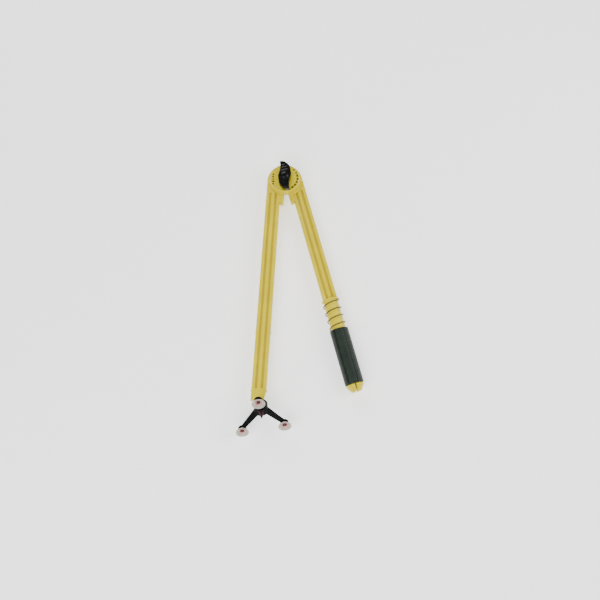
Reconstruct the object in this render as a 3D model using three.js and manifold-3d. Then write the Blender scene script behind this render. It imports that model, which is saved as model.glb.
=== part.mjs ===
// Large board compass for whiteboards: two grooved plastic legs on a clamped head,
// a three-cup suction foot on the pivot leg and a spring-loaded marker chuck on the other.
// Millimetres. Z runs up the head's pivot axis and z = 0 is the surface it lies on.
// The marker leg runs straight along -Y; u below means distance from the pivot along a leg.
import * as THREE from "three";
import { mergeVertices } from "three/addons/utils/BufferGeometryUtils.js";
import Module from "manifold-3d";

const wasm = await Module();
wasm.setup();

// ---- driving sizes -------------------------------------------------------
const OPENING = THREE.MathUtils.degToRad(18.2);
const GAP = 0.3;
const RUN = 0.3;
const OVERSHOOT = 2;

const HEAD_R = 36.5;
const NOTCH_R = 26;
const LEG_W = 28.5;
const LEG_T = 16;
const LEG_END = 459.5;
const LEG_EDGE = 2;
const LEG_X = HEAD_R - LEG_W / 2;
const INNER_X = LEG_X - LEG_W / 2;
const LUG_END = 51;
const LUG_SLOPE = 3;
const LUG_FOOT = 1;

const BOLT_R = 5;
const BOLT_SQUARE = 2 * BOLT_R + 1;
const BOLT_HEAD_R = BOLT_R + 3.5;
const BOLT_HEAD_T = 6;
const BOLT_FLAT = BOLT_R - 0.9;
const WASHER_R = 16;
const WASHER_T = 2;
const CAP_R = 19.5;
const CAP_EDGE = 3;
const CAP_FLOOR = 3;
const CAP_ROOM = 1.2;
const DISC_BASE_R = 32.4;
const DISC_TOP_R = 29;
const DISC_T = 13;
const DISC_RIM = 1.5;
const SPRING_WASHER_R = BOLT_R + 5;
const SPRING_WASHER_T = 1.6;
const SPRING_WASHER_SINK = 1;

const BACK_Z = CAP_FLOOR + CAP_ROOM + BOLT_HEAD_T + GAP;
const MID_Z = BACK_Z + LEG_T / 2;
const FRONT_Z = MID_Z + LEG_T / 2;

const GROOVE_W = 5;
const GROOVE_X = 5.6;
const GROOVE_DEPTH = 3;
const GROOVE_START = 30;
const GROOVE_END = LEG_END - 26.5;

const INSERT_WALL = 2.7;
const INSERT_R = BOLT_R + GAP + INSERT_WALL;
const KNOB_T = 11;
const KNOB_EDGE = 2.4;
const KNOB_BOSS_R = INSERT_R + 4.5;
const KNOB_BOSS_T = 4;
const INSERT_T = 10;
const KNOB_CAP_R = 7.5;
const KNOB_CAP_SINK = 2;
const KNOB_CAP_DOME = 2.6;

const CHUCK_LENGTH = 185;
const SPRING_ROOM = 59.5;
const SLEEVE_LENGTH = 111;
const SLEEVE_R = 18.5;
const SLEEVE_WALL = 2.5;
const SLEEVE_EDGE = 1.5;
const FLUTES = 6;
const FLUTE_TURN = THREE.MathUtils.degToRad(19);
const FLUTE_W = 1.6;
const FLUTE_DEPTH = 0.9;
const GUIDE_T = 5;
const GUIDE_WALL = 1.05;
const WIRE_R = 0.9;
const SPRING_TURNS = 3.7;
const SHOULDER_U = LEG_END - CHUCK_LENGTH;
const SHOULDER_T = 3.5;
const SHOULDER_EDGE = 1;
const SLEEVE_START = SHOULDER_U + SPRING_ROOM;
const SLEEVE_END = SLEEVE_START + SLEEVE_LENGTH;
const CORE_R = SLEEVE_R - SLEEVE_WALL - GAP / 2 - GUIDE_WALL - RUN;
const SPRING_R = CORE_R + WIRE_R + 1.4;
const SHOULDER_R = SPRING_R + 0.8;

const CHALK_R = 6.3;
const EAR_Z = CHALK_R + 1.4;
const JAW_PIN_U = SLEEVE_END - 33.5;
const JAW_PIN_X = CHALK_R + 2.3;
const JAW_PIN_R = 1.3;
const JAW_EYE_R = 3;
const JAW_SLIT = 3;
const JAW_R = CORE_R - 0.4;
const JAW_NOSE_R = SLEEVE_R - 1.3;
const JAW_NOSE_T = 3;
const JAW_TIP_R = CHALK_R + 3.2;
const JAW_END = SLEEVE_END + 15;
const EAR_END = JAW_PIN_U + 10;
const CORE_END = JAW_PIN_U - 16;
const CHALK_DEPTH = CORE_END - 26;
const JAW_SPRING_T = 0.8;
const JAW_SPRING_W = 3.2;
const JAW_SPRING_L = 9;

const PIN_UPPER_U = LEG_END - 134.5;
const PIN_LOWER_U = LEG_END - 19.5;
const LEG_PIN_R = 1.5;
const PIN_PROUD = 1.4;
const FOOT_X = LEG_X - 4.25;
const FOOT_U = LEG_END - 3;
const SLANT_START = LEG_END - 22.5;
const SLANT_IN = 4.2;
const SWIVEL = THREE.MathUtils.degToRad(13.8);
const TILT = THREE.MathUtils.degToRad(37);
const SPIN = THREE.MathUtils.degToRad(108.8);
const KNUCKLE_R = 6.2;
const SHANK_R = 3.6;
const NECK_R = 2.2;
const KNUCKLE_BACK = 10;
const KNUCKLE_FRONT = 2.6;
const KNUCKLE_EDGE = 1;
const SHANK_BACK = 26;
const TONGUE_T = 4.6;
const TONGUE_R = 2.9;
const TILT_PIN_R = 1.2;
const TILT_PIN_L = 11;
const STEM_R = 2.6;
const STEM_FLANGE_R = 3.9;
const STEM_FLANGE_BACK = 6.6;
const MOUTH_RELIEF = 2.2;

const HUB_BACK = 8.3;
const HUB_FRONT = 30;
const HUB_R = 13;
const HUB_EDGE = 1.5;
const MOUTH = 53.3;
const CUP_RING_R = 46.2;
const BOSS_R = 7;
const BOSS_BACK = MOUTH - 12.8;
const BOSS_T = 4.6;
const BOSS_EDGE = 2;
const ARM_HUB = 16.5;
const ARM_W_HUB = 11.4;
const ARM_W_BOSS = 8;
const ARM_T = 6;
const ARM_EDGE = 1;
const CUP_R = 12.4;
const CUP_NECK_R = 5.2;
const CUP_NECK_T = 2.4;
const CUP_WALL = 1.2;
const CUP_LIP = 0.7;
const CUP_DROP = 1.9;
const PLUG_R = 3.9;
const PLUG_STEM_R = 1.9;
const PLUG_HEAD_T = 1.5;
const PLUG_EDGE = 0.8;
const CONE_R = 5.4;
const POINT_END = MOUTH - 5.5;
const STEEL_LENGTH = 6;
const SPIGOT_R = 0.9;
const SPIGOT_L = 3.5;
const CLIP_R = 5.4;
const CLIP_T = 1.2;

const ROUND = 40;
const FINE = 28;
const SMALL = 16;

// ---- helpers -------------------------------------------------------------
function toSolid(geometry) {
  const bare = geometry.clone();
  bare.deleteAttribute("normal");
  bare.deleteAttribute("uv");
  const merged = mergeVertices(bare, 1e-4);
  const mesh = new wasm.Mesh({
    numProp: 3,
    vertProperties: new Float32Array(merged.attributes.position.array),
    triVerts: new Uint32Array(merged.index.array),
  });
  return new wasm.Manifold(mesh);
}

function toGeometry(solid) {
  const mesh = solid.getMesh();
  const geometry = new THREE.BufferGeometry();
  geometry.setAttribute("position", new THREE.BufferAttribute(mesh.vertProperties, 3));
  geometry.setIndex(new THREE.BufferAttribute(mesh.triVerts, 1));
  geometry.computeVertexNormals();
  return geometry;
}

function material(color, roughness, metalness) {
  return new THREE.MeshStandardMaterial({ color, roughness, metalness });
}

function part(name, solid, finish) {
  const mesh = new THREE.Mesh(toGeometry(solid), finish);
  mesh.name = name;
  return mesh;
}

function box(x0, x1, y0, y1, z0, z1) {
  const geometry = new THREE.BoxGeometry(x1 - x0, y1 - y0, z1 - z0);
  geometry.translate((x0 + x1) / 2, (y0 + y1) / 2, (z0 + z1) / 2);
  return toSolid(geometry);
}

// A turned body about Z. The profile is [radius, height] pairs, bottom to top round the outside.
function turnedGeometry(profile, segments) {
  const points = profile.map(([r, h]) => new THREE.Vector2(r, h));
  const geometry = new THREE.LatheGeometry(points, segments);
  geometry.rotateX(Math.PI / 2);
  return geometry;
}

function turned(profile, segments = ROUND) {
  return toSolid(turnedGeometry(profile, segments));
}

function rod(radius, z0, z1, segments = FINE) {
  return turned([[0, z0], [radius, z0], [radius, z1], [0, z1]], segments);
}

// A turned body about a line along -Y through x, MID_Z; heights in the profile are u values.
function turnedAlongLeg(profile, x, segments = ROUND) {
  const geometry = turnedGeometry(profile, segments);
  geometry.rotateX(Math.PI / 2);
  geometry.translate(x, 0, MID_Z);
  return toSolid(geometry);
}

function rodAlongLeg(radius, u0, u1, x, segments = ROUND) {
  return turnedAlongLeg([[0, u0], [radius, u0], [radius, u1], [0, u1]], x, segments);
}

function rodAlongX(radius, x0, x1, y, z, segments = SMALL) {
  const geometry = new THREE.CylinderGeometry(radius, radius, x1 - x0, segments);
  geometry.rotateZ(Math.PI / 2);
  geometry.translate((x0 + x1) / 2, y, z);
  return toSolid(geometry);
}

function rodUp(radius, x, y, z0, z1, segments = FINE) {
  const geometry = new THREE.CylinderGeometry(radius, radius, z1 - z0, segments);
  geometry.rotateX(Math.PI / 2);
  geometry.translate(x, y, (z0 + z1) / 2);
  return toSolid(geometry);
}

function polygonShape(points) {
  return new THREE.Shape(points.map(([x, y]) => new THREE.Vector2(x, y)));
}

// A flat outline carried up from z0 to z1 with its edges rounded off by `edge`.
function slab(shape, z0, z1, edge) {
  const geometry = new THREE.ExtrudeGeometry(shape, {
    depth: z1 - z0 - 2 * edge,
    bevelEnabled: edge > 0,
    bevelThickness: edge,
    bevelSize: edge,
    bevelOffset: -edge,
    bevelSegments: 2,
    curveSegments: 8,
  });
  geometry.translate(0, 0, z0 + edge);
  return toSolid(geometry);
}

// ---- materials -----------------------------------------------------------
const yellow = () => material(0xd7c43e, 0.42, 0);
const black = () => material(0x151618, 0.25, 0);
const green = () => material(0x39443b, 0.6, 0);
const steel = () => material(0xb4b6b8, 0.3, 1);
const brass = () => material(0xb99a4a, 0.35, 1);
const milky = () => material(0xdcd6cf, 0.35, 0);
const red = () => material(0x8c1626, 0.4, 0);
const nylon = () => material(0xe8e6df, 0.5, 0);

// ---- legs ----------------------------------------------------------------
// side is +1 for the marker leg and -1 for the pivot leg, both in the closed position.
function legPlank(side, end, slant) {
  const inner = side * INNER_X;
  const outer = side * HEAD_R;
  const lugFace = side * GAP / 2;
  const lugFoot = side * (INNER_X - LUG_FOOT);
  const points = [
    [outer, 0],
    [outer, -end],
    [inner + side * slant, -end],
    [inner, -(slant > 0 ? SLANT_START : end - LEG_EDGE)],
    [inner, -LUG_END + LUG_SLOPE],
    [lugFoot, -LUG_END + LUG_SLOPE / 2],
    [lugFace, -LUG_END],
    [lugFace, 0],
  ];
  if (side > 0) {
    points.reverse();
  }
  return slab(polygonShape(points), BACK_Z, FRONT_Z, LEG_EDGE);
}

// The open space between the two lugs, which also cuts back the rims of both heads.
function lugNotch(side) {
  const face = GAP / 2;
  const corners = [new THREE.Vector2(face, -NOTCH_R), new THREE.Vector2(face, -LUG_END)];
  for (const reach of [LUG_END, NOTCH_R]) {
    const corner = new THREE.Vector2(-face, -reach);
    corners.push(corner.rotateAround(new THREE.Vector2(), -OPENING));
  }
  const shape = polygonShape(corners.map(({ x, y }) => [side * x, y]));
  return slab(shape, 0, FRONT_Z + OVERSHOOT, 0);
}

function grooves(side, end) {
  let all = null;
  for (const offset of [-GROOVE_X, GROOVE_X]) {
    for (const [z0, z1] of [[BACK_Z - OVERSHOOT, BACK_Z + GROOVE_DEPTH],
      [FRONT_Z - GROOVE_DEPTH, FRONT_Z + OVERSHOOT]]) {
      const x = side * LEG_X + offset;
      const shape = new THREE.Shape();
      shape.absarc(x, -GROOVE_START, GROOVE_W / 2, 0, Math.PI, false);
      shape.absarc(x, -end, GROOVE_W / 2, Math.PI, 2 * Math.PI, false);
      const cut = slab(shape, z0, z1, 0);
      all = all === null ? cut : all.add(cut);
    }
  }
  return all;
}

function headPlate(z0, z1, edgeAtTop) {
  const low = edgeAtTop ? [[HEAD_R, z0]] : [[HEAD_R - LEG_EDGE, z0], [HEAD_R, z0 + LEG_EDGE]];
  const high = edgeAtTop ? [[HEAD_R, z1 - LEG_EDGE], [HEAD_R - LEG_EDGE, z1]] : [[HEAD_R, z1]];
  return turned([[0, z0], ...low, ...high, [0, z1]], 64);
}

function washerRecess() {
  return rod(WASHER_R + RUN, MID_Z - WASHER_T / 2 - GAP, MID_Z + WASHER_T / 2 + GAP, ROUND);
}

function jawPinHole(x) {
  return rodUp(JAW_PIN_R + GAP, x, -JAW_PIN_U, MID_Z - CORE_R, MID_Z + CORE_R, SMALL);
}

function markerLeg() {
  const clear = rod(HEAD_R + 2 * GAP, MID_Z - GAP / 2, FRONT_Z + OVERSHOOT, 64);
  let solid = legPlank(1, SHOULDER_U, 0).subtract(clear);
  solid = solid.add(headPlate(BACK_Z, MID_Z - GAP / 2, false)).subtract(lugNotch(1));
  solid = solid.subtract(grooves(1, SHOULDER_U - 2 * SHOULDER_T));
  solid = solid.subtract(washerRecess());
  const square = (BOLT_SQUARE + GAP) / 2;
  solid = solid.subtract(box(-square, square, -square, square, 0, MID_Z));
  const shoulder = turnedAlongLeg([
    [0, SHOULDER_U - SHOULDER_T],
    [SHOULDER_R - SHOULDER_EDGE, SHOULDER_U - SHOULDER_T],
    [SHOULDER_R, SHOULDER_U - SHOULDER_T + SHOULDER_EDGE],
    [SHOULDER_R, SHOULDER_U],
    [0, SHOULDER_U],
  ], LEG_X);
  const core = rodAlongLeg(CORE_R, SHOULDER_U - SHOULDER_T, EAR_END, LEG_X);
  const forkGap = box(0, 2 * LEG_X, -EAR_END - OVERSHOOT, -CORE_END, MID_Z - EAR_Z, MID_Z + EAR_Z);
  const chalk = rodAlongLeg(CHALK_R, CHALK_DEPTH, EAR_END + OVERSHOOT, LEG_X, FINE);
  solid = solid.add(shoulder).add(core.subtract(forkGap)).subtract(chalk);
  for (const side of [-1, 1]) {
    const x = LEG_X + side * JAW_PIN_X;
    solid = solid.subtract(jawPinHole(x));
  }
  return part("marker_leg", solid.subtract(jawSpringPocket()), yellow());
}

function footBore() {
  const depth = FOOT_U - SHANK_BACK - GAP;
  return turnedAlongLeg([
    [0, depth],
    [SHANK_R + RUN, depth],
    [SHANK_R + RUN, FOOT_U - KNUCKLE_BACK - GAP],
    [KNUCKLE_R + GAP, FOOT_U - KNUCKLE_BACK - GAP],
    [KNUCKLE_R + GAP, LEG_END - MOUTH_RELIEF],
    [KNUCKLE_R + GAP + 2 * MOUTH_RELIEF, LEG_END + MOUTH_RELIEF],
    [0, LEG_END + MOUTH_RELIEF],
  ], -FOOT_X, FINE);
}

function legPinZ(u) {
  return u === PIN_LOWER_U ? MID_Z + NECK_R + LEG_PIN_R + GAP : MID_Z;
}

function pivotLeg() {
  const clear = rod(HEAD_R + 2 * GAP, 0, MID_Z + GAP / 2, 64);
  let solid = legPlank(-1, LEG_END, SLANT_IN).subtract(clear);
  solid = solid.add(headPlate(MID_Z + GAP / 2, FRONT_Z, true)).subtract(lugNotch(-1));
  solid = solid.subtract(grooves(-1, GROOVE_END));
  solid = solid.subtract(washerRecess());
  solid = solid.subtract(rod(BOLT_R + RUN, MID_Z, FRONT_Z + OVERSHOOT));
  solid = solid.subtract(footBore());
  for (const u of [PIN_UPPER_U, PIN_LOWER_U]) {
    const x0 = -HEAD_R - OVERSHOOT;
    const x1 = -INNER_X + OVERSHOOT;
    solid = solid.subtract(rodAlongX(LEG_PIN_R + GAP, x0, x1, -u, legPinZ(u)));
  }
  return part("pivot_leg", solid, yellow());
}

function legPin(name, u) {
  const x0 = -HEAD_R - PIN_PROUD;
  const x1 = -INNER_X + PIN_PROUD;
  return part(name, rodAlongX(LEG_PIN_R, x0, x1, -u, legPinZ(u)), yellow());
}

// ---- head hardware -------------------------------------------------------
const DISC_Z = FRONT_Z + GAP;
const DISC_TOP = DISC_Z + DISC_T;
const KNOB_Z = DISC_TOP + SPRING_WASHER_T - SPRING_WASHER_SINK + GAP;
const KNOB_TOP = KNOB_Z + KNOB_BOSS_T + KNOB_T;
const BOLT_TOP = KNOB_Z + INSERT_T;

function backCap() {
  const headRoom = rod(BOLT_HEAD_R + GAP * 2, CAP_FLOOR, BACK_Z, FINE);
  const body = turned([
    [0, 0],
    [CAP_R - CAP_EDGE, 0],
    [CAP_R, CAP_EDGE],
    [CAP_R, BACK_Z - GAP],
    [0, BACK_Z - GAP],
  ]);
  return part("back_cap", body.subtract(headRoom), black());
}

function pivotBolt() {
  const headBottom = BACK_Z - GAP - BOLT_HEAD_T;
  const half = BOLT_SQUARE / 2;
  let solid = rod(BOLT_HEAD_R, headBottom, BACK_Z - GAP, 6);
  solid = solid.add(box(-half, half, -half, half, BACK_Z - 1, MID_Z - WASHER_T));
  solid = solid.add(rod(BOLT_R, BACK_Z - 1, BOLT_TOP));
  const flat = box(BOLT_FLAT, 2 * BOLT_R, -BOLT_R, BOLT_R, DISC_Z - GAP, DISC_TOP + GAP);
  return part("pivot_bolt", solid.subtract(flat), steel());
}

function frictionWasher() {
  const half = WASHER_T / 2;
  const inner = BOLT_R + GAP;
  const ring = turned([
    [inner, MID_Z - half],
    [WASHER_R, MID_Z - half],
    [WASHER_R, MID_Z + half],
    [inner, MID_Z + half],
    [inner, MID_Z - half],
  ]);
  return part("friction_washer", ring, nylon());
}

function scaleDisc() {
  const sinkFloor = DISC_TOP - SPRING_WASHER_SINK - GAP;
  let solid = turned([
    [0, DISC_Z],
    [DISC_BASE_R, DISC_Z],
    [DISC_BASE_R, DISC_Z + DISC_RIM],
    [DISC_TOP_R, DISC_TOP - DISC_RIM],
    [DISC_TOP_R - DISC_RIM, DISC_TOP],
    [0, DISC_TOP],
  ], 64);
  solid = solid.subtract(rod(SPRING_WASHER_R + GAP, sinkFloor, DISC_TOP + OVERSHOOT));
  const hole = rod(BOLT_R + GAP, DISC_Z - OVERSHOOT, DISC_TOP + OVERSHOOT);
  const key = box(BOLT_FLAT + GAP, DISC_TOP_R, -DISC_TOP_R, DISC_TOP_R, 0, KNOB_TOP);
  return part("scale_disc", solid.subtract(hole.subtract(key)), yellow());
}

function springWasher() {
  const z0 = DISC_TOP - SPRING_WASHER_SINK;
  const inner = BOLT_R + GAP;
  const dish = SPRING_WASHER_T / 3;
  const ring = turned([
    [inner, z0 + dish],
    [SPRING_WASHER_R, z0],
    [SPRING_WASHER_R, z0 + SPRING_WASHER_T - dish],
    [inner, z0 + SPRING_WASHER_T],
    [inner, z0 + dish],
  ], FINE);
  return part("spring_washer", ring, steel());
}

// One half of the knob's S outline, tip to tip; the other half is the same turned half round.
const KNOB_HALF = [[-1.8, 32.3], [7, 29.6], [12.6, 22.5], [15.4, 15.8], [14.8, 7.2],
  [13.6, -1], [10.5, -6.8], [6.4, -13.5], [3.4, -21.5], [2.3, -28.2]];

function knobShape() {
  const points = [];
  for (const turn of [1, -1]) {
    for (const [x, y] of KNOB_HALF) {
      points.push([x * turn, y * turn]);
    }
  }
  return polygonShape(points.reverse());
}

function clampKnob() {
  const wingZ = KNOB_Z + KNOB_BOSS_T;
  let solid = slab(knobShape(), wingZ - GAP, KNOB_TOP, KNOB_EDGE);
  solid = solid.add(rod(KNOB_BOSS_R, KNOB_Z, wingZ + OVERSHOOT, ROUND));
  const pocketTop = KNOB_Z + INSERT_T + GAP;
  solid = solid.subtract(rod(INSERT_R + GAP, KNOB_Z - OVERSHOOT, pocketTop, FINE));
  const capSeat = KNOB_TOP - KNOB_CAP_SINK - GAP;
  solid = solid.subtract(rod(KNOB_CAP_R + GAP, capSeat, KNOB_TOP + OVERSHOOT, FINE));
  return part("clamp_knob", solid, black());
}

function knobInsert() {
  const inner = BOLT_R + GAP;
  const z0 = KNOB_Z + GAP;
  const z1 = KNOB_Z + INSERT_T;
  const ring = turned([
    [inner, z0],
    [INSERT_R, z0],
    [INSERT_R, z1],
    [inner, z1],
    [inner, z0],
  ], FINE);
  return part("knob_insert", ring, brass());
}

function knobCap() {
  const z0 = KNOB_TOP - KNOB_CAP_SINK;
  const dome = turned([
    [0, z0],
    [KNOB_CAP_R, z0],
    [KNOB_CAP_R, KNOB_TOP],
    [KNOB_CAP_R * 0.86, KNOB_TOP + KNOB_CAP_DOME * 0.5],
    [KNOB_CAP_R * 0.5, KNOB_TOP + KNOB_CAP_DOME * 0.88],
    [0, KNOB_TOP + KNOB_CAP_DOME],
  ], FINE);
  return part("knob_cap", dome, black());
}

// ---- marker chuck --------------------------------------------------------
class Coil extends THREE.Curve {
  constructor(radius, u0, u1, turns) {
    super();
    this.radius = radius;
    this.u0 = u0;
    this.u1 = u1;
    this.turns = turns;
  }

  getPoint(t, target = new THREE.Vector3()) {
    const angle = t * this.turns * 2 * Math.PI;
    const x = LEG_X + this.radius * Math.cos(angle);
    const z = MID_Z + this.radius * Math.sin(angle);
    return target.set(x, -THREE.MathUtils.lerp(this.u0, this.u1, t), z);
  }
}

function circleShape(radius, segments) {
  const points = [];
  for (let i = 0; i < segments; i += 1) {
    const angle = (i / segments) * 2 * Math.PI;
    points.push([radius * Math.cos(angle), radius * Math.sin(angle)]);
  }
  return polygonShape(points);
}

function returnSpring() {
  const u0 = SHOULDER_U + WIRE_R + GAP;
  const u1 = SLEEVE_START - WIRE_R - GAP;
  const geometry = new THREE.ExtrudeGeometry(circleShape(WIRE_R, 8), {
    steps: 96,
    extrudePath: new Coil(SPRING_R, u0, u1, SPRING_TURNS),
    bevelEnabled: false,
  });
  return part("return_spring", toSolid(geometry), steel());
}

function gripSleeve() {
  const inner = SLEEVE_R - SLEEVE_WALL;
  let solid = turnedAlongLeg([
    [inner, SLEEVE_START],
    [SLEEVE_R - SLEEVE_EDGE, SLEEVE_START],
    [SLEEVE_R, SLEEVE_START + SLEEVE_EDGE],
    [SLEEVE_R, SLEEVE_END - SLEEVE_EDGE],
    [SLEEVE_R - SLEEVE_EDGE, SLEEVE_END],
    [inner, SLEEVE_END],
    [inner, SLEEVE_START],
  ], LEG_X, 48);
  const reach = SLEEVE_R + OVERSHOOT;
  for (let i = 0; i < FLUTES; i += 1) {
    const angle = FLUTE_TURN + (i / FLUTES) * 2 * Math.PI;
    const length = SLEEVE_END - SLEEVE_START - 4 * SLEEVE_EDGE;
    const geometry = new THREE.BoxGeometry(FLUTE_W, length, reach);
    geometry.translate(0, 0, SLEEVE_R - FLUTE_DEPTH + reach / 2);
    geometry.rotateY(angle);
    geometry.translate(LEG_X, -(SLEEVE_START + SLEEVE_END) / 2, MID_Z);
    solid = solid.subtract(toSolid(geometry));
  }
  return part("grip_sleeve", solid, green());
}

function guideRing() {
  const outer = SLEEVE_R - SLEEVE_WALL - GAP / 2;
  const inner = CORE_R + RUN;
  const u0 = SLEEVE_START + GAP;
  const ring = turnedAlongLeg([
    [inner, u0],
    [outer, u0],
    [outer, u0 + GUIDE_T],
    [inner, u0 + GUIDE_T],
    [inner, u0],
  ], LEG_X);
  return part("guide_ring", ring, nylon());
}

function jaw(name, side) {
  const noseStart = SLEEVE_END + GAP;
  let solid = turnedAlongLeg([
    [0, JAW_PIN_U - JAW_EYE_R],
    [JAW_R, JAW_PIN_U - JAW_EYE_R],
    [JAW_R, noseStart],
    [JAW_NOSE_R - SHOULDER_EDGE, noseStart],
    [JAW_NOSE_R, noseStart + SHOULDER_EDGE],
    [JAW_NOSE_R, noseStart + JAW_NOSE_T],
    [JAW_TIP_R, JAW_END],
    [0, JAW_END],
  ], LEG_X);
  const low = LEG_X + side * (JAW_SLIT / 2);
  const high = LEG_X + side * (JAW_NOSE_R + OVERSHOOT);
  const left = Math.min(low, high);
  const right = Math.max(low, high);
  const half = box(left, right, -JAW_END - OVERSHOOT, -EAR_END - OVERSHOOT,
    MID_Z - JAW_NOSE_R, MID_Z + JAW_NOSE_R);
  const armIn = LEG_X + side * (JAW_PIN_X - JAW_EYE_R);
  const armOut = LEG_X + side * (JAW_PIN_X + JAW_EYE_R);
  const armZ = EAR_Z - GAP;
  const arm = box(Math.min(armIn, armOut), Math.max(armIn, armOut),
    -EAR_END - 2 * OVERSHOOT, -JAW_PIN_U, MID_Z - armZ, MID_Z + armZ);
  const pinX = LEG_X + side * JAW_PIN_X;
  const eye = rodUp(JAW_EYE_R, pinX, -JAW_PIN_U, MID_Z - armZ, MID_Z + armZ, FINE);
  solid = solid.intersect(half.add(arm).add(eye));
  solid = solid.subtract(rodAlongLeg(CHALK_R, CORE_END, JAW_END + OVERSHOOT, LEG_X, FINE));
  return part(name, solid.subtract(jawPinHole(pinX)), yellow());
}

function jawPin(name, side) {
  const reach = Math.sqrt(CORE_R ** 2 - (JAW_PIN_X + JAW_PIN_R) ** 2);
  const x = LEG_X + side * JAW_PIN_X;
  const solid = rodUp(JAW_PIN_R, x, -JAW_PIN_U, MID_Z - reach, MID_Z + reach, SMALL);
  return part(name, solid, steel());
}

// A bent leaf at the fork's root that presses the two jaws apart.
const LEAF_Z0 = MID_Z + CHALK_R + GAP;
const LEAF_Z1 = MID_Z + EAR_Z - GAP;
const LEAF_BACK_Z = LEAF_Z0 + JAW_SPRING_W;

// The pocket is open to the chalk's bore below it.
function jawSpringPocket() {
  const half = JAW_SPRING_L / 2 + GAP;
  const back = CORE_END - JAW_SPRING_T - GAP;
  return box(LEG_X - half, LEG_X + half, -CORE_END - GAP, -back, MID_Z, LEAF_BACK_Z + GAP);
}

function jawSpring() {
  const half = JAW_SPRING_L / 2;
  const root = CORE_END - JAW_SPRING_T;
  let solid = box(LEG_X - half, LEG_X + half, -CORE_END, -root, LEAF_Z0, LEAF_BACK_Z);
  for (const side of [-1, 1]) {
    const x = LEG_X + side * (half - JAW_SPRING_T / 2);
    const tip = JAW_PIN_U - JAW_EYE_R - 2 * GAP;
    const reach = JAW_SPRING_T / 2;
    solid = solid.add(box(x - reach, x + reach, -tip, -CORE_END + reach, LEAF_Z0, LEAF_Z1));
  }
  return part("jaw_spring", solid, steel());
}

// ---- suction foot --------------------------------------------------------
// The knuckle's own frame: origin on the tilt pin, Z out of the leg's end, X along the tilt pin.
function swivelKnuckle() {
  const neckStart = PIN_LOWER_U - LEG_PIN_R - 2 * GAP - FOOT_U;
  const neckEnd = PIN_LOWER_U + LEG_PIN_R + 2 * GAP - FOOT_U;
  let solid = turned([
    [0, -SHANK_BACK],
    [SHANK_R, -SHANK_BACK],
    [SHANK_R, neckStart],
    [NECK_R, neckStart],
    [NECK_R, neckEnd],
    [SHANK_R, neckEnd],
    [SHANK_R, -KNUCKLE_BACK],
    [KNUCKLE_R, -KNUCKLE_BACK],
    [KNUCKLE_R, KNUCKLE_FRONT - KNUCKLE_EDGE],
    [KNUCKLE_R - KNUCKLE_EDGE, KNUCKLE_FRONT],
    [0, KNUCKLE_FRONT],
  ], FINE);
  const half = TONGUE_T / 2 + GAP;
  const reach = KNUCKLE_R + OVERSHOOT;
  const slotBack = -TONGUE_R - 2 * GAP;
  solid = solid.subtract(box(-half, half, -reach, reach, slotBack, KNUCKLE_FRONT + OVERSHOOT));
  solid = solid.subtract(rodAlongX(TILT_PIN_R + GAP, -reach, reach, 0, 0));
  return part("swivel_knuckle", solid, black());
}

function tiltPin() {
  return part("tilt_pin", rodAlongX(TILT_PIN_R, -TILT_PIN_L / 2, TILT_PIN_L / 2, 0, 0), steel());
}

// The hub's frame: origin on the tilt pin, Z out along the hub's axis towards the cups' mouths.
function hubStem() {
  const half = TONGUE_T / 2;
  const stemEnd = HUB_FRONT - CLIP_T - GAP;
  let solid = rodAlongX(TONGUE_R, -half, half, 0, 0, FINE);
  solid = solid.add(box(-half, half, -half, half, 0, STEM_FLANGE_BACK));
  solid = solid.add(turned([
    [0, STEM_FLANGE_BACK],
    [STEM_FLANGE_R, STEM_FLANGE_BACK],
    [STEM_FLANGE_R, HUB_BACK - GAP],
    [STEM_R, HUB_BACK - GAP],
    [STEM_R, stemEnd],
    [0, stemEnd],
  ], FINE));
  const pinHole = rodAlongX(TILT_PIN_R + GAP, -TILT_PIN_L, TILT_PIN_L, 0, 0);
  return part("hub_stem", solid.subtract(pinHole), steel());
}

function cupCentre(index) {
  const angle = (index / 3) * 2 * Math.PI;
  return [CUP_RING_R * Math.cos(angle), CUP_RING_R * Math.sin(angle)];
}

function spiderArm(index) {
  const angle = (index / 3) * 2 * Math.PI;
  const farZ = BOSS_BACK + BOSS_T / 2;
  const length = Math.hypot(CUP_RING_R, farZ - ARM_HUB);
  const slope = Math.atan2(farZ - ARM_HUB, CUP_RING_R);
  const shape = polygonShape([
    [0, -ARM_W_HUB / 2],
    [length, -ARM_W_BOSS / 2],
    [length, ARM_W_BOSS / 2],
    [0, ARM_W_HUB / 2],
  ]);
  const geometry = new THREE.ExtrudeGeometry(shape, {
    depth: ARM_T - 2 * ARM_EDGE,
    bevelThickness: ARM_EDGE,
    bevelSize: ARM_EDGE,
    bevelOffset: -ARM_EDGE,
    bevelSegments: 1,
  });
  geometry.translate(0, 0, ARM_EDGE - ARM_T / 2);
  geometry.rotateY(-slope);
  geometry.translate(0, 0, ARM_HUB);
  geometry.rotateZ(angle);
  return toSolid(geometry);
}

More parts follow.
